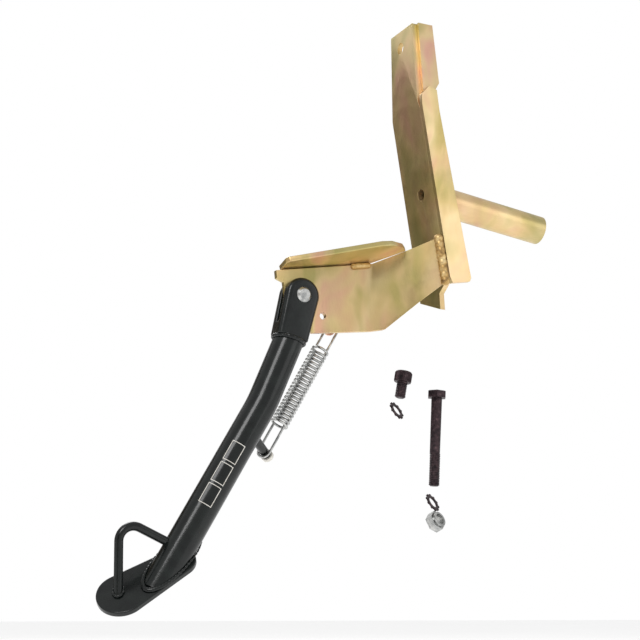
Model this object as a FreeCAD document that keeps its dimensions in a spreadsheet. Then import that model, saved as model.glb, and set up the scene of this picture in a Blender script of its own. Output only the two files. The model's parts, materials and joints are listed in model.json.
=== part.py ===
import FreeCAD, Part

import math
import os

import Sketcher
from FreeCAD import Placement, Rotation, Vector

# A scooter side stand: a zinc-plated bracket, a black leg that folds on a rivet, a
# return spring between two pegs, and the loose M8 hardware that fixes it to a frame.
# Frame: origin at the centre of the bracket's upper frame hole, +Z up, +X towards the
# cross tube, +Y along the leg's pivot. Numbers below are millimetres about the pivot.

PIVOT = Vector(-87, 3, -206)

SIZES = {
    "post_thick": 4, "frame_hole": 4.5, "flange_thick": 4, "lip_thick": 3,
    "plate_thick": 4, "pivot_bore": 5.05, "stop_hole": 2.5, "shelf_thick": 4,
    "cross_outer": 11, "cross_inner": 8.5, "cross_length": 106,
    "rivet_shank": 5, "rivet_head": 5.6, "rivet_point": 4, "rivet_dome": 1.6,
    "head_crown": 13, "head_thick": 18, "head_neck": 12, "neck_drop": 32.5,
    "slot_gap": 4.8, "slot_depth": 22.5, "head_round": 3.5,
    "leg_outer": 11, "leg_inner": 8.5, "leg_upper": 52.7, "leg_lower": 150,
    "leg_bend": 7, "leg_sweep": 120,
    "foot_thick": 4, "toe_round": 17, "heel_round": 12, "toe_reach": 36, "heel_reach": 8,
    "loop_wire": 3, "loop_rise": 55.5, "loop_run": 37.4, "loop_bend": 115.5, "loop_corner": 10,
    "peg_shank": 3.3, "peg_head": 4.6, "peg_head_thick": 2,
    "anchor_peg_length": 24, "leg_peg_length": 37, "cap_length": 3, "cap_outer": 4.4,
    "wire": 0.95, "coil_mean": 5.8, "coil_pitch": 3.05, "coil_height": 61,
    "hook_round": 4.5, "hook_leg": 21.1, "hook_tail": 23.8,
    "bolt_shank": 4, "hex_across": 7.5, "hex_thick": 5.3, "hex_length": 66,
    "screw_head": 6.5, "screw_head_thick": 8, "screw_length": 12, "socket_across": 3.5,
    "socket_depth": 4.5, "washer_outer": 6.2, "washer_inner": 4.2, "washer_thick": 1.2,
    "nut_thick": 6, "nut_across": 7.5, "insert_outer": 5.6, "insert_thick": 1.8,
}

# corners of each outline, in the two directions of its sketch
OUTLINES = {
    "strip": [(85, 220), (85, 150), (111.7, -15), (115.8, -15), (89.05, 150.3), (89.05, 220)],
    "face": [(12, 222), (-21, 222), (-28, 155), (-31, 148), (-31, 18), (-17, 10), (-15, -1.5),
             (12, 8), (11, 150)],
    "flange": [(85, 150), (85, 158), (91, 165), (98, 163), (100, 147), (124.6, 20), (123.5, 17),
               (108.5, 14.5), (106.2, 19)],
    "lip": [(0, 0), (12.5, 0), (14.5, -49), (11, -55), (11, -70), (0, -70)],
    "bend": [(-25, -2), (56.6, -2), (106.6, -36.4), (109, -33), (57.9, 2), (-25, 2)],
    "plate": [(-19, 17.5), (-18.4, 11.7), (-13, 9.5), (-12, 3), (-11, -5), (-6, -10.4),
              (10.3, -26), (66, -19.5), (87.5, 0.7), (101, 12.7), (98.5, 48.5), (83, 41),
              (59, 30.7)],
    "shelf": [(5, 0), (5, -13), (7, -15.5), (75, -33), (84, -32.5), (95, -27), (100, -21), (76, 0)],
}

doc = FreeCAD.newDocument("SideStand")
sheet = doc.addObject("Spreadsheet::Sheet", "Sizes")
cells = dict(SIZES)
for name, corners in OUTLINES.items():
    for i, (u, v) in enumerate(corners):
        letter = "abcdefghijklmnop"[i]
        cells[f"{name}_{letter}_across"], cells[f"{name}_{letter}_along"] = u, v
for row, (alias, number) in enumerate(cells.items(), 1):
    sheet.set(f"A{row}", alias)
    sheet.set(f"B{row}", str(number))
    sheet.setAlias(f"B{row}", alias)
doc.recompute()

nodes = []


def about(axis, angle):
    return Rotation(Vector(*axis), angle)


def at(x, y, z, turn=None):
    """A placement measured from the pivot."""
    return Placement(PIVOT + Vector(x, y, z), turn or Rotation())


def along(direction):
    """The turn that carries +Z onto a direction."""
    return Rotation(Vector(0, 0, 1), Vector(*direction))


def bind(thing, **expressions):
    for prop, expression in expressions.items():
        thing.setExpression(prop, expression)
    return thing


def node(thing, label):
    thing.Label = label
    nodes.append(thing)
    return thing


# ---------------------------------------------------------------- sketches and bodies


def new_sketch(body, name, role):
    sketch = body.newObject("Sketcher::SketchObject", name)
    origin = [f for f in body.Origin.OriginFeatures if f.Role == role][0]
    sketch.AttachmentSupport = [(origin, "")]
    sketch.MapMode = "FlatFace"
    return sketch


def sized(sketch, kind, *where, value, expression):
    index = sketch.addConstraint(Sketcher.Constraint(kind, *where, value))
    sketch.setExpression(f"Constraints[{index}]", expression)


def polygon(sketch, name):
    corners = [Vector(u, v, 0) for u, v in OUTLINES[name]]
    count = len(corners)
    for i in range(count):
        sketch.addGeometry(Part.LineSegment(corners[i], corners[(i + 1) % count]))
    for i, corner in enumerate(corners):
        letter = "abcdefghijklmnop"[i]
        sketch.addConstraint(Sketcher.Constraint("Coincident", i, 2, (i + 1) % count, 1))
        sized(sketch, "DistanceX", -1, 1, i, 1, value=corner.x,
              expression=f"Sizes.{name}_{letter}_across")
        sized(sketch, "DistanceY", -1, 1, i, 1, value=corner.y,
              expression=f"Sizes.{name}_{letter}_along")


def prism(name, role, length, placement, outline=None):
    """A body padded both ways from an outline in one of its base planes."""
    body = doc.addObject("PartDesign::Body", name.capitalize() + "Body")
    sketch = new_sketch(body, name.capitalize() + "Outline", role)
    polygon(sketch, outline or name)
    pad = body.newObject("PartDesign::Pad", name.capitalize() + "Pad")
    pad.Profile = sketch
    pad.Midplane = True
    bind(pad, Length=length)
    body.Placement = placement
    return body


def circle(sketch, radius, expression):
    index = sketch.addGeometry(Part.Circle(Vector(), Vector(0, 0, 1), radius))
    sketch.addConstraint(Sketcher.Constraint("Coincident", index, 3, -1, 1))
    sized(sketch, "Radius", index, value=radius, expression=expression)


def bent_rod(name, outer, first, second, bend, corner, placement, inner=None):
    """A rod or tube that leaves its origin along -Z and bends towards -X."""
    turn, radius = math.radians(SIZES[bend]), SIZES[corner]
    round_off = radius * math.tan(turn / 2)
    bend_in = Vector(0, round_off - SIZES[first], 0)
    centre = bend_in - Vector(radius, 0, 0)
    bend_out = centre + Vector(math.cos(turn), -math.sin(turn), 0) * radius
    end = bend_out - Vector(math.sin(turn), math.cos(turn), 0) * (SIZES[second] - round_off)
    body = doc.addObject("PartDesign::Body", name + "Body")
    path = new_sketch(body, name + "Path", "XZ_Plane")
    path.addGeometry(Part.LineSegment(Vector(), bend_in))
    path.addGeometry(Part.ArcOfCircle(Part.Circle(centre, Vector(0, 0, 1), radius), -turn, 0))
    path.addGeometry(Part.LineSegment(bend_out, end))
    path.addConstraint(Sketcher.Constraint("Coincident", 0, 1, -1, 1))
    path.addConstraint(Sketcher.Constraint("Vertical", 0))
    path.addConstraint(Sketcher.Constraint("Tangent", 0, 2, 1, 2))
    path.addConstraint(Sketcher.Constraint("Tangent", 1, 1, 2, 1))
    sized(path, "Radius", 1, value=radius, expression=f"Sizes.{corner}")
    profile = new_sketch(body, name + "Profile", "XY_Plane")
    circle(profile, SIZES[outer], f"Sizes.{outer}")
    if inner:
        circle(profile, SIZES[inner], f"Sizes.{inner}")
    pipe = body.newObject("PartDesign::AdditivePipe", name + "Pipe")
    pipe.Profile = profile
    pipe.Spine = path
    body.Placement = placement
    return body


# ---------------------------------------------------------------- primitives


def cylinder(name, radius, height, placement, slide=0.0):
    solid = doc.addObject("Part::Cylinder", name)
    bind(solid, Radius=radius, Height=height)
    solid.Placement = placement * Placement(Vector(0, 0, slide), Rotation())
    return solid


def cone(name, wide, narrow, height, placement, slide=0.0):
    solid = doc.addObject("Part::Cone", name)
    bind(solid, Radius1=wide, Radius2=narrow, Height=height)
    solid.Placement = placement * Placement(Vector(0, 0, slide), Rotation())
    return solid


def hexagon(name, across, height, placement, slide=0.0):
    solid = doc.addObject("Part::Prism", name)
    solid.Polygon = 6
    bind(solid, Circumradius=across, Height=height)
    solid.Placement = placement * Placement(Vector(0, 0, slide), Rotation())
    return solid


def torus(name, mean, wire, placement, slide=0.0, angle=360):
    ring = doc.addObject("Part::Torus", name)
    bind(ring, Radius1=mean, Radius2=wire)
    ring.Angle3 = angle
    ring.Placement = placement * Placement(Vector(0, 0, slide), Rotation())
    return ring


def block(name, length, width, height, placement):
    box = doc.addObject("Part::Box", name)
    box.Length, box.Width, box.Height = length, width, height
    box.Placement = placement
    return box


def fuse(name, *shapes):
    joined = doc.addObject("Part::MultiFuse", name)
    joined.Shapes = list(shapes)
    return joined


def cut(name, base, *tools):
    for i, tool in enumerate(tools):
        step = doc.addObject("Part::Cut", f"{name}{i}")
        step.Base, step.Tool = base, tool
        base = step
    return base


def beads(name, points, radius, *neighbours):
    """A weld: a row of overlapping beads trimmed by what they join."""
    drops = []
    for i, point in enumerate(points):
        drop = doc.addObject("Part::Sphere", f"{name}Drop{i}")
        drop.Radius = radius
        drop.Placement = at(*point)
        drops.append(drop)
    return cut(name + "Trim", fuse(name + "Row", *drops), *neighbours)


def between(start, end, count):
    return [tuple(a + (b - a) * i / (count - 1) for a, b in zip(start, end)) for i in range(count)]


# ---------------------------------------------------------------- bracket

strip = prism("strip", "XZ_Plane", "120 mm", at(0, 0, 0))
face = prism("face", "YZ_Plane", "400 mm", at(0, 0, 0))
web = doc.addObject("Part::MultiCommon", "Web")
web.Shapes = [strip, face]
front = prism("flange", "XZ_Plane", "Sizes.flange_thick", at(0, -33, 0))
lower_axis = (0.987, 0, 0.160)
upper_hole = cylinder("UpperHole", "Sizes.frame_hole", "40 mm", at(67, -3, 206, along((1, 0, 0))))
lower_hole = cylinder("LowerHole", "Sizes.frame_hole", "16 mm", at(95.4, -13, 86, along(lower_axis)), -8)
post = node(cut("Post", fuse("PostBlank", web, front), upper_hole, lower_hole), "mounting_post")

lip = prism("lip", "XZ_Plane", "Sizes.lip_thick", at(89.05, -22.5, 220, about((1, 0, 0), -6.1)))
node(cut("Lip", lip, post), "upper_lip")

bend = prism("bend", "XY_Plane", "120 mm", at(0, 0, 0))
side = prism("plate", "XZ_Plane", "120 mm", at(0, 0, 0))
bent = doc.addObject("Part::MultiCommon", "BentPlate")
bent.Shapes = [bend, side]
across_y = along((0, 1, 0))
pivot_hole = cylinder("PivotHole", "Sizes.pivot_bore", "12 mm", at(0, 0, 0, across_y), -6)
stop_hole = cylinder("StopHole", "Sizes.stop_hole", "12 mm", at(18.3, 0, -12.7, across_y), -6)
plate = node(cut("Plate", bent, pivot_hole, stop_hole, post), "pivot_plate")

tilt = about((0, 1, 0), -9.6) * about((1, 0, 0), -13)
lift = tilt.multVec(Vector(0, 0, 2))
shelf_blank = prism("shelf", "XY_Plane", "Sizes.shelf_thick",
                    at(-19.2 + lift.x, 2 + lift.y, 17.5 + lift.z, tilt))
shelf = node(cut("Shelf", shelf_blank, plate, post), "support_flange")

tube_axis = (0.99, 0, -0.139)
tube_at = at(96.5, -13, 86, along(tube_axis))
tube_skin = cylinder("CrossSkin", "Sizes.cross_outer", "Sizes.cross_length", tube_at)
tube_core = cylinder("CrossCore", "Sizes.cross_inner", "130 mm", tube_at, -10)
outside = block("OutsidePost", 30, 80, 80, at(99.48, -53, 86, about((0, 1, 0), -9.192)) *
                Placement(Vector(-30, 0, -40), Rotation()))
cross = node(cut("Cross", tube_skin, tube_core, outside), "cross_tube")

peg_at = at(37.6, 2, -15.6, across_y)
node(fuse("AnchorPeg", cylinder("AnchorShank", "Sizes.peg_shank", "Sizes.anchor_peg_length", peg_at),
          cylinder("AnchorHead", "Sizes.peg_head", "Sizes.peg_head_thick", peg_at, 24)),
     "spring_anchor_peg")

node(beads("PostWeld", between((101.5, -36, 15), (97.5, -34, 47), 8), 3.6, post, plate), "post_weld")
node(beads("FlangeWeld", between((43, -2.8, 26.8), (55, -3, 28.9), 6), 2.4, plate, shelf),
     "flange_weld")


def ring_points(centre, axis, radius, count, normal, height):
    """Points where a tube's skin meets a plane through its centre, lifted by height."""
    turn, axis, normal = along(axis), Vector(*axis), Vector(*normal)
    points = []
    for i in range(count):
        angle = 2 * math.pi * i / count
        skin = turn.multVec(Vector(radius * math.cos(angle), radius * math.sin(angle), 0))
        slide = (height - normal.dot(skin)) / normal.dot(axis)
        points.append(tuple(Vector(*centre) + skin + axis * slide))
    return points


tube_ring = ring_points((97.2, -13, 86), tube_axis, 11, 20, lower_axis, 2.8)
node(beads("TubeWeld", tube_ring, 2.4, post, cylinder("CrossPlug", "Sizes.cross_outer",
                                                     "Sizes.cross_length", tube_at, -4)), "tube_weld")

# ---------------------------------------------------------------- leg

lean = about((0, 1, 0), 13.7)
head_body = doc.addObject("PartDesign::Body", "HeadBody")
head_sketch = new_sketch(head_body, "HeadOutline", "XZ_Plane")
crown, neck, drop = SIZES["head_crown"], SIZES["head_neck"], SIZES["neck_drop"]
head_sketch.addGeometry(Part.ArcOfCircle(Part.Circle(Vector(), Vector(0, 0, 1), crown), 0, math.pi))
corners = [Vector(-crown, 0, 0), Vector(-neck, -drop, 0), Vector(neck, -drop, 0), Vector(crown, 0, 0)]
for start, end in zip(corners, corners[1:]):
    head_sketch.addGeometry(Part.LineSegment(start, end))
head_sketch.addConstraint(Sketcher.Constraint("Coincident", 0, 3, -1, 1))
for one, one_end, two, two_end in [(0, 2, 1, 1), (1, 2, 2, 1), (2, 2, 3, 1), (3, 2, 0, 1)]:
    head_sketch.addConstraint(Sketcher.Constraint("Coincident", one, one_end, two, two_end))
head_sketch.addConstraint(Sketcher.Constraint("PointOnObject", 0, 1, -1))
head_sketch.addConstraint(Sketcher.Constraint("PointOnObject", 0, 2, -1))
sized(head_sketch, "Radius", 0, value=crown, expression="Sizes.head_crown")
sized(head_sketch, "DistanceX", -1, 1, 2, 1, value=-neck, expression="-Sizes.head_neck")
sized(head_sketch, "DistanceX", -1, 1, 2, 2, value=neck, expression="Sizes.head_neck")
sized(head_sketch, "DistanceY", -1, 1, 2, 1, value=-drop, expression="-Sizes.neck_drop")
sized(head_sketch, "DistanceY", -1, 1, 2, 2, value=-drop, expression="-Sizes.neck_drop")
head_pad = head_body.newObject("PartDesign::Pad", "HeadPad")
head_pad.Profile, head_pad.Midplane = head_sketch, True
bind(head_pad, Length="Sizes.head_thick")
doc.recompute()
rims = [f"Edge{i}" for i, edge in enumerate(head_pad.Shape.Edges, 1)
        if abs(abs(edge.CenterOfMass.y) - SIZES["head_thick"] / 2) < 0.01 and edge.CenterOfMass.z > -drop + 1]
rounding = head_body.newObject("PartDesign::Fillet", "HeadRound")
rounding.Base = (head_pad, rims)
bind(rounding, Radius="Sizes.head_round")
head_body.Placement = at(0, 0, 0, lean)
slot = block("Slot", 40, 1, 40, at(0, 0, 0, lean) * Placement(Vector(-20, -2.4, -22.5), Rotation()))
bind(slot, Width="Sizes.slot_gap")
shank_hole = cylinder("ShankHole", "Sizes.pivot_bore", "24 mm", at(0, 0, 0, across_y), -12)
head = node(cut("Head", head_body, slot, shank_hole), "clevis_head")

foot_x = Vector(-0.87, 0, -0.49).normalize()
foot_z = Vector(-0.37, -0.65, 0.65)
foot_y = foot_z.cross(foot_x).normalize()
foot_turn = Rotation(foot_x, foot_y, foot_x.cross(foot_y), "ZXY")
foot_at = at(-95, 0, -194, foot_turn)
foot_normal = tuple(foot_turn.multVec(Vector(0, 0, 1)))
foot_body = doc.addObject("PartDesign::Body", "FootBody")
foot_sketch = new_sketch(foot_body, "FootOutline", "XY_Plane")
toe, heel, ahead, behind = (SIZES[k] for k in ("toe_round", "heel_round", "toe_reach", "heel_reach"))
slant = math.asin((toe - heel) / (ahead + behind))
edge = Vector(-math.sin(slant), math.cos(slant), 0)
toe_c, heel_c = Vector(ahead, 0, 0), Vector(-behind, 0, 0)
mirror = Vector(edge.x, -edge.y, 0)
quarter = math.pi / 2 + slant
z_axis = Vector(0, 0, 1)
foot_sketch.addGeometry(Part.ArcOfCircle(Part.Circle(toe_c, z_axis, toe), -quarter, quarter))
foot_sketch.addGeometry(Part.LineSegment(toe_c + edge * toe, heel_c + edge * heel))
foot_sketch.addGeometry(
    Part.ArcOfCircle(Part.Circle(heel_c, z_axis, heel), quarter, 2 * math.pi - quarter))
foot_sketch.addGeometry(Part.LineSegment(heel_c + mirror * heel, toe_c + mirror * toe))
for one, one_end, two, two_end in [(0, 2, 1, 1), (1, 2, 2, 1), (2, 2, 3, 1), (3, 2, 0, 1)]:
    foot_sketch.addConstraint(Sketcher.Constraint("Tangent", one, one_end, two, two_end))
sized(foot_sketch, "Radius", 0, value=toe, expression="Sizes.toe_round")
sized(foot_sketch, "Radius", 2, value=heel, expression="Sizes.heel_round")
sized(foot_sketch, "DistanceX", -1, 1, 0, 3, value=ahead, expression="Sizes.toe_reach")
sized(foot_sketch, "DistanceX", -1, 1, 2, 3, value=-behind, expression="-Sizes.heel_reach")
foot_sketch.addConstraint(Sketcher.Constraint("PointOnObject", 0, 3, -1))
foot_sketch.addConstraint(Sketcher.Constraint("PointOnObject", 2, 3, -1))
foot_pad = foot_body.newObject("PartDesign::Pad", "FootPad")
foot_pad.Profile, foot_pad.Midplane = foot_sketch, True
bind(foot_pad, Length="Sizes.foot_thick")
foot_body.Placement = foot_at
node(foot_body, "foot_plate")
below = block("BelowFoot", 300, 300, 100, foot_at * Placement(Vector(-150, -150, -98), Rotation()))

leg_at = at(-7.7, 0, -31.6, about((0, 1, 0), 23.3))
low_lean = math.radians(23.3 + SIZES["leg_bend"])
low_axis = Vector(-math.sin(low_lean), 0, -math.cos(low_lean))
knee = Vector(-7.7, 0, -31.6) + about((0, 1, 0), 23.3).multVec(Vector(0, 0, -SIZES["leg_upper"]))
ankle, peg_root = knee + low_axis * 132, knee + low_axis * 20.7
leg_pipe = bent_rod("Leg", "leg_outer", "leg_upper", "leg_lower", "leg_bend", "leg_sweep", leg_at,
                    inner="leg_inner")
leg = node(cut("LegTrim", leg_pipe, below, head), "leg_tube")

loop_pipe = bent_rod("Loop", "loop_wire", "loop_rise", "loop_run", "loop_bend", "loop_corner",
                     at(-129, 0, -217, about((0, 1, 0), 178.97)))
loop = node(cut("LoopTrim", loop_pipe, below, leg), "thumb_loop")

leg_ring = ring_points(tuple(ankle), tuple(low_axis), 11, 56, foot_normal, 2)
leg_plug = cylinder("LegPlug", "Sizes.leg_outer", "60 mm", at(*ankle, along(tuple(low_axis))), -50)
node(beads("FootWeld", leg_ring, 2, below, leg, leg_plug), "foot_weld")
loop_ring = ring_points((-129, 0, -211), (0, 0, 1), 3, 10, foot_normal, 1.2)
node(beads("LoopWeld", loop_ring, 1.6, below, loop), "loop_weld")
upper_axis = Vector(-0.3955, 0, -0.9185)
neck_ring = ring_points((-7.7, 0, -31.6), tuple(upper_axis), 11, 26, (0.237, 0, 0.972), -1)
neck_plug = cylinder("NeckPlug", "Sizes.leg_outer", "30 mm", leg_at, -15)
node(beads("HeadWeld", neck_ring, 2, head, neck_plug), "head_weld")

rivet_at = at(0, 0, 0, across_y)
node(fuse("Rivet", cylinder("RivetShank", "Sizes.rivet_shank", "Sizes.head_thick", rivet_at, -9),
          cone("RivetFront", "Sizes.rivet_point", "Sizes.rivet_head", "Sizes.rivet_dome", rivet_at, -10.6),
          cone("RivetRear", "Sizes.rivet_head", "Sizes.rivet_point", "Sizes.rivet_dome", rivet_at, 9)),
     "pivot_rivet")

leg_peg_axis = (Vector(-17.5, 20.5, -110.5) - peg_root).normalize()
leg_peg_at = at(*peg_root, along(tuple(leg_peg_axis)))
leg_peg = cylinder("LegPeg", "Sizes.peg_shank", "Sizes.leg_peg_length", leg_peg_at)
mid_plug = cylinder("MidPlug", "Sizes.leg_outer", "80 mm", at(*peg_root, along(tuple(low_axis))), -30)
node(cut("LegPegTrim", leg_peg, mid_plug), "spring_peg")
node(cylinder("PegCap", "Sizes.cap_outer", "Sizes.cap_length", leg_peg_at, 37), "peg_cap")

# ---------------------------------------------------------------- spring

spring_turn = about((0, 1, 0), 210.14)
spring_at = at(37.6, 20.5, -15.6, spring_turn)
spring_length = 109.7


def hook(name, end_at, leg_length):
    """A long loop round a peg, closed by a flat end turn; +Z runs into the coil."""
    bow = end_at * Placement(Vector(), about((1, 0, 0), 90))
    round_end = torus(name + "Bow", "Sizes.hook_round", "Sizes.wire",
                      bow * Placement(Vector(), about((0, 0, 1), 180)), angle=180)
    legs = [cylinder(name + tag, "Sizes.wire", leg_length,
                     end_at * Placement(Vector(side_x * 4.5, 0, 0), Rotation()))
            for tag, side_x in (("Left", -1), ("Right", 1))]
    slide = SIZES[leg_length.split(".")[1]]
    return fuse(name, round_end, *legs, torus(name + "Turn", "Sizes.coil_mean", "Sizes.wire", end_at, slide))


node(hook("UpperHook", spring_at, "Sizes.hook_leg"), "spring_hook_upper")

helix = doc.addObject("Part::Helix", "CoilPath")
bind(helix, Radius="Sizes.coil_mean", Pitch="Sizes.coil_pitch", Height="Sizes.coil_height")
helix.Placement = spring_at * Placement(Vector(0, 0, 23), Rotation())
section = doc.addObject("Part::Circle", "CoilSection")
bind(section, Radius="Sizes.wire")
section.Placement = helix.Placement * Placement(Vector(5.8, 0, 0), about((1, 0, 0), 90))
coil = doc.addObject("Part::Sweep", "Coil")
coil.Sections = [section]
coil.Spine = (helix, [])
coil.Solid, coil.Frenet = True, True
node(coil, "spring_coil")

far_turn = spring_turn * about((0, 0, 1), 51.4) * about((1, 0, 0), 180)
far_end = spring_turn.multVec(Vector(0, 0, spring_length))
node(hook("LowerHook", at(37.6 + far_end.x, 20.5, -15.6 + far_end.z, far_turn), "Sizes.hook_tail"),
     "spring_hook_lower")

# ---------------------------------------------------------------- loose hardware

bolt_axis = Vector(-4, 0, -71.7).normalize()
bolt_at = at(114.3, 0, -60.7, along(tuple(bolt_axis)))
node(fuse("HexBolt", hexagon("BoltHead", "Sizes.hex_across", "Sizes.hex_thick", bolt_at),
          cylinder("BoltShank", "Sizes.bolt_shank", "Sizes.hex_length", bolt_at, 5.3)), "hex_bolt")

screw_axis = Vector(-3.7, 0, -19).normalize()
screw_at = at(86.2, 0, -48.4, along(tuple(screw_axis)))
screw_blank = fuse("ScrewBlank", cylinder("ScrewHead", "Sizes.screw_head", "Sizes.screw_head_thick", screw_at),
                   cylinder("ScrewShank", "Sizes.bolt_shank", "Sizes.screw_length", screw_at, 8))
node(cut("Screw", screw_blank, hexagon("Socket", "Sizes.socket_across", "Sizes.socket_depth", screw_at)),
     "socket_screw")

washer_turn = along((0.45, -0.75, 0.48))
for label, x, z in [("screw_lock_washer", 79, -78), ("bolt_lock_washer", 108.3, -144.2)]:
    washer_at = at(x, 0, z, washer_turn)
    tag = label.split("_")[0].capitalize()
    teeth = [block(f"{tag}Tooth{i}", 2.6, 1.6, 1.2, washer_at * Placement(Vector(), about((0, 0, 1), 36 * i)) *
                   Placement(Vector(4.6, -0.8, 0), Rotation())) for i in range(10)]
    rim = cylinder(f"{tag}Rim", "Sizes.washer_outer", "Sizes.washer_thick", washer_at)
    gap = cylinder(f"{tag}Gap", "Sizes.washer_inner", "Sizes.washer_thick", washer_at)
    node(cut(f"{tag}Washer", fuse(f"{tag}Star", rim, *teeth), gap), label)

nut_at = at(110.4, 3.4, -158.8, along((0.35, -0.85, 0.4)))
nut_hole = cylinder("NutHole", "Sizes.bolt_shank", "20 mm", nut_at, -5)
node(cut("Nut", hexagon("NutBlank", "Sizes.nut_across", "Sizes.nut_thick", nut_at), nut_hole), "lock_nut")
node(cut("Insert", cylinder("InsertBlank", "Sizes.insert_outer", "Sizes.insert_thick", nut_at, 6), nut_hole),
     "nut_insert")

# ---------------------------------------------------------------- check and export

doc.recompute()
for thing in nodes:
    shape = thing.Shape
    assert "Invalid" not in thing.State, (thing.Label, thing.State)
    assert not shape.isNull() and shape.isValid(), thing.Label
    assert len(shape.Solids) == 1, (thing.Label, len(shape.Solids))
    print(thing.Label, round(shape.Volume, 1))

os.makedirs("parts", exist_ok=True)
for thing in nodes:
    thing.Shape.exportStep(f"parts/{thing.Label}.step")
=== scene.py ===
import json
import math

import bmesh
import bpy
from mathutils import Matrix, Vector


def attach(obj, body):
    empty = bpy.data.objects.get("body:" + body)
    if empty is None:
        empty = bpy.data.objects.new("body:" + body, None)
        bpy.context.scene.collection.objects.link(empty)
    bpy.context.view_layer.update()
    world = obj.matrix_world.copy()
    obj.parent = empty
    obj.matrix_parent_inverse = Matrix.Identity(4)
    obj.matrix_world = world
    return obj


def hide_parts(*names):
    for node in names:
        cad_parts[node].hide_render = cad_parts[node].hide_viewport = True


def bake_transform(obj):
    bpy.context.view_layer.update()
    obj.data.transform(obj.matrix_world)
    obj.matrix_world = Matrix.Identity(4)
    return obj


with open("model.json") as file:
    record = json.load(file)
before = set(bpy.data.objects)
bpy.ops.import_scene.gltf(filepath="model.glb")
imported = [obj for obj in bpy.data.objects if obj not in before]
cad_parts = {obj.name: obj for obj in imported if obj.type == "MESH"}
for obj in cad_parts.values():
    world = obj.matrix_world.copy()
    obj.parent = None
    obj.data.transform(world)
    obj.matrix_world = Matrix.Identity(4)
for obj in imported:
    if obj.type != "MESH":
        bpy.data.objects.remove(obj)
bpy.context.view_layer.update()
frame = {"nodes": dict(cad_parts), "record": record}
PIVOT = Vector((-0.087, 0.003, -0.206))

# the return spring's coil, in metres: how far below the upper hook it starts, its length,
# and the radii of its turns and its wire
COIL_START, COIL_LENGTH = 0.023, 0.061
COIL_RADIUS, WIRE_RADIUS, COIL_TURNS = 0.0058, 0.00095, 20

# the stickers on the lower leg tube: their radii in millimetres, just outside and just inside
# its skin, and where a block starts and ends around the tube, in radians from -Y
STICKER_TOP, STICKER_BACK = 11.12, 10.95
BLOCK_FROM, BLOCK_TO = -0.15, 0.75


def mm(x, y, z):
    """A point given in millimetres from the leg's pivot."""
    return PIVOT + Vector((x, y, z)) / 1000


# ---------------------------------------------------------------- materials


class Nodes:
    """A material's node tree with short calls for the nodes used here."""

    def __init__(self, name):
        self.material = bpy.data.materials.new(name)
        self.material.use_nodes = True
        self.tree = self.material.node_tree
        self.shader = self.tree.nodes["Principled BSDF"]
        self.place = self.add("ShaderNodeTexCoord").outputs["Object"]

    def add(self, kind, **values):
        made = self.tree.nodes.new(kind)
        for key, value in values.items():
            setattr(made, key, value)
        return made

    def join(self, source, target):
        self.tree.links.new(source, target)

    def noise(self, scale, detail=4.0, stretch=(1, 1, 1), distortion=0.0):
        mapping = self.add("ShaderNodeMapping")
        mapping.inputs["Scale"].default_value = stretch
        self.join(self.place, mapping.inputs["Vector"])
        made = self.add("ShaderNodeTexNoise")
        made.inputs["Scale"].default_value = scale
        made.inputs["Detail"].default_value = detail
        made.inputs["Distortion"].default_value = distortion
        self.join(mapping.outputs["Vector"], made.inputs["Vector"])
        return made.outputs["Fac"]

    def ramp(self, source, stops):
        made = self.add("ShaderNodeValToRGB")
        bands = made.color_ramp.elements
        while len(bands) < len(stops):
            bands.new(0.5)
        for band, (where, colour) in zip(bands, stops):
            band.position = where
            band.color = (*colour, 1) if len(colour) == 3 else colour
        self.join(source, made.inputs["Fac"])
        return made.outputs["Color"]

    def blend(self, amount, first, second):
        made = self.add("ShaderNodeMix", data_type="RGBA")
        self.join(amount, made.inputs[0])
        self.join(first, made.inputs[6])
        self.join(second, made.inputs[7])
        return made.outputs[2]

    def grey(self, source, low, high):
        made = self.add("ShaderNodeMapRange")
        made.inputs["To Min"].default_value = low
        made.inputs["To Max"].default_value = high
        self.join(source, made.inputs["Value"])
        return made.outputs["Result"]

    def bump(self, source, strength, distance):
        made = self.add("ShaderNodeBump")
        made.inputs["Strength"].default_value = strength
        made.inputs["Distance"].default_value = distance
        self.join(source, made.inputs["Height"])
        self.join(made.outputs["Normal"], self.shader.inputs["Normal"])

    def set(self, **values):
        for key, value in values.items():
            self.shader.inputs[key.replace("_", " ")].default_value = value


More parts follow.
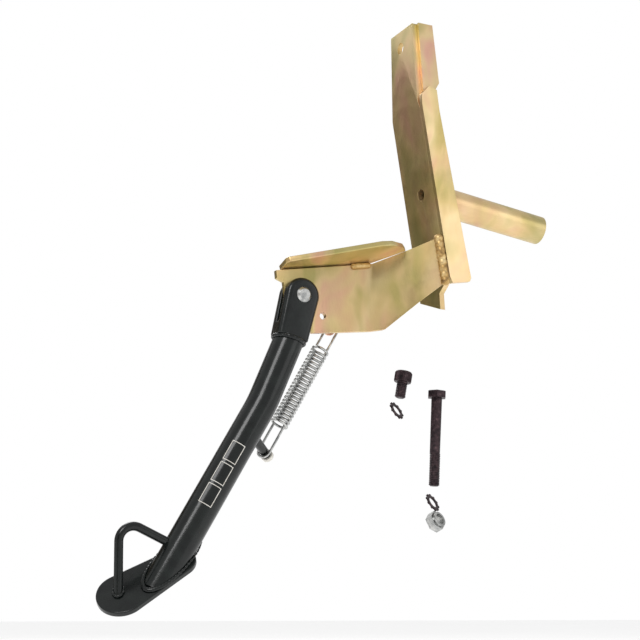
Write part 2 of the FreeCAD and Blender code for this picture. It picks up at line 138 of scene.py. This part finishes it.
def yellow_zinc():
    m = Nodes("yellow_zinc")
    gold = m.ramp(m.noise(16, 3, (1, 1, 0.6), 0.6),
                  [(0.30, (0.30, 0.25, 0.08)), (0.45, (0.62, 0.43, 0.16)),
                   (0.58, (0.88, 0.68, 0.38)), (0.72, (0.74, 0.42, 0.28))])
    tint = m.ramp(m.noise(27, 2, (1, 1, 0.5), 1.2),
                  [(0.35, (0.38, 0.42, 0.14)), (0.5, (0.90, 0.70, 0.40)),
                   (0.66, (0.86, 0.42, 0.40))])
    amount = m.grey(m.noise(11, 2), 0.05, 0.9)
    streaks = m.noise(60, 6, (1, 1, 0.08), 0.2)
    brown = m.ramp(streaks, [(0.30, (0.20, 0.12, 0.05)), (0.46, (0.66, 0.46, 0.20)),
                             (1.0, (0.95, 0.78, 0.48))])
    plated = m.blend(m.grey(streaks, 0.0, 0.45), m.blend(amount, gold, tint), brown)
    # painted shade and reflection: faces turned to -X are blended towards a dark olive by the way
    # they face, not by any coat on the metal
    split = m.add("ShaderNodeSeparateXYZ")
    m.join(m.add("ShaderNodeNewGeometry").outputs["Normal"], split.inputs[0])
    facing_shade_amount = m.add("ShaderNodeMapRange")
    for socket, value in (("From Min", -0.25), ("From Max", -0.85),
                          ("To Min", 0.0), ("To Max", 0.62)):
        facing_shade_amount.inputs[socket].default_value = value
    m.join(split.outputs["X"], facing_shade_amount.inputs["Value"])
    # the dark olive colour of that painted shade and reflection
    painted_olive_shade = m.ramp(m.noise(22, 3, (1, 1, 0.5), 0.8),
                   [(0.35, (0.20, 0.20, 0.05)), (0.55, (0.40, 0.28, 0.10)),
                    (0.7, (0.42, 0.20, 0.12))])
    m.join(m.blend(facing_shade_amount.outputs["Result"], plated, painted_olive_shade), m.shader.inputs["Base Color"])
    m.join(m.grey(m.noise(90, 5), 0.22, 0.46), m.shader.inputs["Roughness"])
    m.set(Metallic=0.82, Coat_Weight=0.15, Coat_Roughness=0.2)
    m.bump(m.noise(700, 4, (1, 1, 0.3)), 0.18, 0.0004)
    return m.material


def weld_zinc():
    m = Nodes("weld_zinc")
    burn = m.ramp(m.noise(140, 4), [(0.3, (0.16, 0.09, 0.04)), (0.5, (0.52, 0.33, 0.12)),
                                    (0.7, (0.80, 0.62, 0.32))])
    m.join(burn, m.shader.inputs["Base Color"])
    m.join(m.grey(m.noise(220, 3), 0.3, 0.6), m.shader.inputs["Roughness"])
    m.set(Metallic=0.8)
    m.bump(m.noise(420, 5), 0.5, 0.0006)
    return m.material


def black_paint():
    m = Nodes("black_paint")
    m.join(m.ramp(m.noise(120, 5), [(0.3, (0.002, 0.003, 0.003)), (0.7, (0.007, 0.010, 0.009))]),
           m.shader.inputs["Base Color"])
    m.join(m.grey(m.noise(60, 4), 0.18, 0.34), m.shader.inputs["Roughness"])
    m.set(Specular_IOR_Level=0.28, Coat_Weight=0.22, Coat_Roughness=0.1)
    m.bump(m.noise(260, 3), 0.16, 0.0006)
    return m.material


def bright_zinc():
    m = Nodes("bright_zinc")
    m.join(m.ramp(m.noise(300, 4), [(0.3, (0.26, 0.27, 0.27)), (0.7, (0.62, 0.62, 0.60))]),
           m.shader.inputs["Base Color"])
    m.join(m.grey(m.noise(500, 3), 0.18, 0.38), m.shader.inputs["Roughness"])
    m.set(Metallic=1.0)
    m.bump(m.noise(1500, 3), 0.12, 0.0002)
    return m.material


def black_oxide():
    m = Nodes("black_oxide")
    m.join(m.ramp(m.noise(350, 5), [(0.3, (0.010, 0.006, 0.008)), (0.62, (0.050, 0.030, 0.034)),
                                    (0.8, (0.16, 0.10, 0.10))]), m.shader.inputs["Base Color"])
    m.join(m.grey(m.noise(420, 3), 0.30, 0.55), m.shader.inputs["Roughness"])
    m.set(Metallic=0.65)
    m.bump(m.noise(900, 4), 0.25, 0.0003)
    return m.material


def pale_cap():
    m = Nodes("pale_cap")
    m.join(m.ramp(m.noise(400, 4), [(0.3, (0.55, 0.52, 0.46)), (0.7, (0.80, 0.78, 0.72))]),
           m.shader.inputs["Base Color"])
    m.join(m.grey(m.noise(500, 3), 0.35, 0.6), m.shader.inputs["Roughness"])
    m.bump(m.noise(900, 3), 0.2, 0.0002)
    return m.material


ZINC, WELD, PAINT, BRIGHT, OXIDE, PALE = (
    yellow_zinc(), weld_zinc(), black_paint(), bright_zinc(), black_oxide(), pale_cap())
FINISH = {"zinc": ZINC, "black_paint": PAINT, "bright_zinc": BRIGHT, "black_oxide": OXIDE,
          "peg_plastic": PALE}
SLOT = {p["node"]: p["material_slot"] for p in frame["record"]["subparts"]}
BODY = {node: body for body, names in frame["record"]["behaviour"]["bodies"].items()
        for node in names}

for name, thing in frame["nodes"].items():
    finish = WELD if name in ("post_weld", "flange_weld", "tube_weld") else FINISH[SLOT[name]]
    thing.data.materials.clear()
    thing.data.materials.append(finish)


# ---------------------------------------------------------------- pieces


def piece(name, bm, node, material=None, smooth=40):
    mesh = bpy.data.meshes.new(name)
    bm.to_mesh(mesh)
    bm.free()
    mesh.materials.append(material or FINISH[SLOT[node]])
    mesh.shade_smooth()
    made = bpy.data.objects.new(name, mesh)
    bpy.context.scene.collection.objects.link(made)
    mesh.set_sharp_from_angle(angle=math.radians(smooth))
    return made


def softened(node, width):
    """A copy of a CAD plate with its sheared edges rounded off."""
    bm = bmesh.new()
    bm.from_mesh(frame["nodes"][node].data)
    bmesh.ops.remove_doubles(bm, verts=bm.verts, dist=1e-6)
    bmesh.ops.dissolve_limit(bm, angle_limit=math.radians(1), verts=bm.verts, edges=bm.edges)
    made = piece(node + "_formed", bm, node, smooth=50)
    bevel = made.modifiers.new("edges", "BEVEL")
    bevel.width, bevel.segments, bevel.limit_method = width, 3, "ANGLE"
    bevel.angle_limit = math.radians(35)
    bpy.context.view_layer.objects.active = made
    made.select_set(True)
    bpy.ops.object.modifier_apply(modifier="edges")
    made.select_set(False)
    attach(made, BODY[node])
    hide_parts(node)
    return made


for plate, width in [("mounting_post", 0.0007), ("upper_lip", 0.0006), ("pivot_plate", 0.0006),
                     ("support_flange", 0.0007), ("foot_plate", 0.0007), ("clevis_head", 0.0009)]:
    softened(plate, width)


def melted(node, material=None):
    """A copy of a CAD weld with its beads run together, as a real bead cools."""
    bm = bmesh.new()
    bm.from_mesh(frame["nodes"][node].data)
    made = piece(node + "_run", bm, node, material, smooth=180)
    bpy.context.view_layer.objects.active = made
    made.select_set(True)
    remesh = made.modifiers.new("skin", "REMESH")
    remesh.mode, remesh.voxel_size = "VOXEL", 0.00045
    melt = made.modifiers.new("melt", "SMOOTH")
    melt.factor, melt.iterations = 0.8, 14
    for step in ("skin", "melt"):
        bpy.ops.object.modifier_apply(modifier=step)
    made.data.shade_smooth()
    made.select_set(False)
    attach(made, BODY[node])
    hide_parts(node)


for weld in ("post_weld", "flange_weld", "tube_weld"):
    melted(weld, WELD)
for weld in ("foot_weld", "loop_weld", "head_weld"):
    melted(weld)


def decal(name, first, last, low, high, line=0.5):
    """A plain outlined block stuck round the front of the lower leg tube."""
    start, end = mm(-28.5, 0, -80), mm(-95, 0, -194)
    down = (end - start).normalized()
    across = Vector((0, 1, 0)).cross(down).normalized()
    bm = bmesh.new()
    border = line / STICKER_TOP

    def strip(from_along, to_along, from_angle, to_angle):
        rows = []
        for i in range(13):
            angle = from_angle + (to_angle - from_angle) * i / 12
            out = Vector((0, -1, 0)) * math.cos(angle) + across * math.sin(angle)
            rows.append([bm.verts.new(start + down * a / 1000 + out * r / 1000)
                         for a, r in (
                             (from_along, STICKER_TOP), (to_along, STICKER_TOP),
                             (to_along, STICKER_BACK), (from_along, STICKER_BACK))])
        for one, two in zip(rows, rows[1:]):
            for k in range(4):
                bm.faces.new((one[k], one[(k + 1) % 4], two[(k + 1) % 4], two[k]))
        bm.faces.new(rows[0][::-1])
        bm.faces.new(rows[-1])

    strip(first, first + line, low, high)
    strip(last - line, last, low, high)
    strip(first + line, last - line, low, low + border)
    strip(first + line, last - line, high - border, high)
    bmesh.ops.recalc_face_normals(bm, faces=bm.faces)
    made = piece(name, bm, "peg_cap", PALE)
    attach(made, "leg")


for i, (first, last) in enumerate([(36, 51), (53, 68), (70, 85)]):
    decal(f"leg_sticker_{i}", first, last, BLOCK_FROM, BLOCK_TO)


def turned(bm, profile, start, direction, sides=48, wobble=None):
    """Adds a surface of revolution: profile is (distance along, radius), in millimetres."""
    turn = Vector((0, 0, 1)).rotation_difference(Vector(direction)).to_matrix()
    rows = []
    for along, radius in profile:
        row = []
        for i in range(sides):
            angle = 2 * math.pi * i / sides
            reach = radius + (wobble(along, angle) if wobble else 0)
            spot = turn @ Vector((reach * math.cos(angle), reach * math.sin(angle), along)) / 1000
            row.append(bm.verts.new(start + spot))
        rows.append(row)
    for low, high in zip(rows, rows[1:]):
        for i in range(sides):
            bm.faces.new((low[i], low[(i + 1) % sides], high[(i + 1) % sides], high[i]))
    bm.faces.new(rows[0][::-1])
    bm.faces.new(rows[-1])


def threaded_shank(bm, start, direction, plain, length):
    """An M8 shank: plain first, then a 1.25 mm thread to a chamfered point."""
    def thread(along, angle):
        if along < plain or along > length - 1.2:
            return 0.0
        turns = along / 1.25 - angle / (2 * math.pi)
        return -0.4 * abs(2 * (turns - math.floor(turns)) - 1)
    steps = int((length - plain) / 0.2)
    profile = [(0, 4), (plain, 4)]
    profile += [(plain + (length - plain) * i / steps, 4) for i in range(1, steps - 3)]
    profile += [(length - 0.8, 3.7), (length, 3.0)]
    turned(bm, profile, start, direction, 40, thread)


def hardware(name, head, plain, length, start, direction, head_top, sides=None):
    bm = bmesh.new()
    def shape(along, angle):
        if sides:
            step = math.pi / 3
            return 7.5 * math.cos(math.pi / 6) / math.cos((angle % step) - step / 2) - 7.5
        return 0.22 * math.cos(36 * angle) if 0.9 < along < 7.2 else 0.0
    turned(bm, head, start, direction, 96 if sides else 144, shape)
    shank_start = start + Vector(direction).normalized() * head_top / 1000
    threaded_shank(bm, shank_start, direction, plain, length)
    made = piece(name + "_formed", bm, name, smooth=35)
    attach(made, "bracket")
    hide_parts(name)


hardware("hex_bolt", [(0, 6.6), (0.5, 7.45), (5.2, 7.45), (5.3, 7.3)], 42, 65.9,
         mm(114.3, 0, -60.7), (-4, 0, -71.7), 5.3, sides=6)
hardware("socket_screw",
         [(4.4, 3.1), (0.3, 3.3), (0, 3.6), (0, 5.7), (0.7, 6.2), (1, 6.25), (7, 6.25),
          (7.9, 6.2), (8, 6.0)], 1, 11.9, mm(86.2, 0, -48.4), (-3.7, 0, -19), 8)

# the coil stretches between the two halves of the spring
top = mm(37.6, 20.5, -15.6)
axis = Vector((-0.5023, 0, -0.8651)).normalized()
side = Vector((-0.8651, 0, 0.5023)).normalized()
other = axis.cross(side)
bm = bmesh.new()
per_turn, ring = 40, 10
rows = []
for i in range(COIL_TURNS * per_turn + 1):
    angle = 2 * math.pi * i / per_turn
    out = side * math.cos(angle) + other * math.sin(angle)
    along = COIL_START + COIL_LENGTH * i / (COIL_TURNS * per_turn)
    centre = top + axis * along + out * COIL_RADIUS
    rows.append([bm.verts.new(centre + (out * math.cos(a) + axis * math.sin(a)) * WIRE_RADIUS)
                 for a in (2 * math.pi * k / ring for k in range(ring))])
for low, high in zip(rows, rows[1:]):
    for k in range(ring):
        bm.faces.new((low[k], low[(k + 1) % ring], high[(k + 1) % ring], high[k]))
bm.faces.new(rows[0][::-1])
bm.faces.new(rows[-1])
bmesh.ops.recalc_face_normals(bm, faces=bm.faces)
coil = piece("spring_coil_wound", bm, "spring_coil", smooth=60)
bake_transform(coil)
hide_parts("spring_coil")

# ---------------------------------------------------------------- stage, light, camera

scene = bpy.context.scene
bpy.ops.mesh.primitive_plane_add(size=14, location=(0, 0, -0.475))
floor = bpy.context.object
floor.name = "floor"
ground = Nodes("pale_floor")
ground.join(ground.ramp(ground.noise(3, 2), [(0.3, (0.90, 0.90, 0.90)), (0.7, (0.93, 0.93, 0.93))]),
            ground.shader.inputs["Base Color"])
ground.set(Roughness=0.9, Emission_Color=(1, 1, 1, 1), Emission_Strength=0.3)
floor.data.materials.append(ground.material)

world = bpy.data.worlds.new("studio")
scene.world = world
world.use_nodes = True
sky = world.node_tree.nodes["Background"]
sky.inputs["Color"].default_value = (1, 1, 1, 1)
seen = world.node_tree.nodes.new("ShaderNodeLightPath").outputs["Is Camera Ray"]
level = world.node_tree.nodes.new("ShaderNodeMapRange")
level.inputs["To Min"].default_value, level.inputs["To Max"].default_value = 0.66, 1.0
world.node_tree.links.new(seen, level.inputs["Value"])
world.node_tree.links.new(level.outputs["Result"], sky.inputs["Strength"])

centre = Vector((-0.0701, 0.003, -0.2214))
for name, where, size, power in [("key", (-0.9, -0.9, 0.7), 0.5, 7),
                                 ("fill", (0.9, -1.1, 0.1), 0.8, 2),
                                 ("rim", (-0.2, 0.9, 0.7), 0.5, 4)]:
    lamp = bpy.data.objects.new(name, bpy.data.lights.new(name, "AREA"))
    lamp.data.size, lamp.data.energy = size, power
    lamp.location = where
    lamp.rotation_euler = (centre - Vector(where)).to_track_quat("-Z", "Y").to_euler()
    scene.collection.objects.link(lamp)

# dark cards around the part, for the metal to reflect
flag_finish = Nodes("flag")
flag_colour = flag_finish.ramp(flag_finish.noise(1.2, 2),
                               [(0.3, (0.05, 0.04, 0.03)), (0.7, (0.16, 0.12, 0.08))])
flag_finish.join(flag_colour, flag_finish.shader.inputs["Base Color"])
flag_finish.set(Roughness=1.0, Specular_IOR_Level=0.0)
for name, where, size in [("flag_left", (-1.25, -1.15, -0.10), 0.95),
                          ("flag_back", (-0.85, 1.25, 0.05), 1.1),
                          ("flag_low", (0.35, -0.9, -0.85), 0.5)]:
    bpy.ops.mesh.primitive_plane_add(size=size, location=where)
    flag = bpy.context.object
    flag.name = name
    flag.rotation_euler = (Vector(where) - centre).to_track_quat("Z", "Y").to_euler()
    flag.visible_camera = flag.visible_shadow = flag.visible_diffuse = False
    flag.data.materials.append(flag_finish.material)

camera = bpy.data.objects.new("camera", bpy.data.cameras.new("camera"))
camera.data.lens, camera.data.sensor_width = 77.6, 36
camera.location = (-0.4989, -0.8761, -0.4293)
camera.rotation_euler = (centre - camera.location).to_track_quat("-Z", "Y").to_euler()
camera.data.clip_start = 0.01
scene.collection.objects.link(camera)
scene.camera = camera
scene.view_settings.view_transform = "Standard"

bpy.context.view_layer.update()
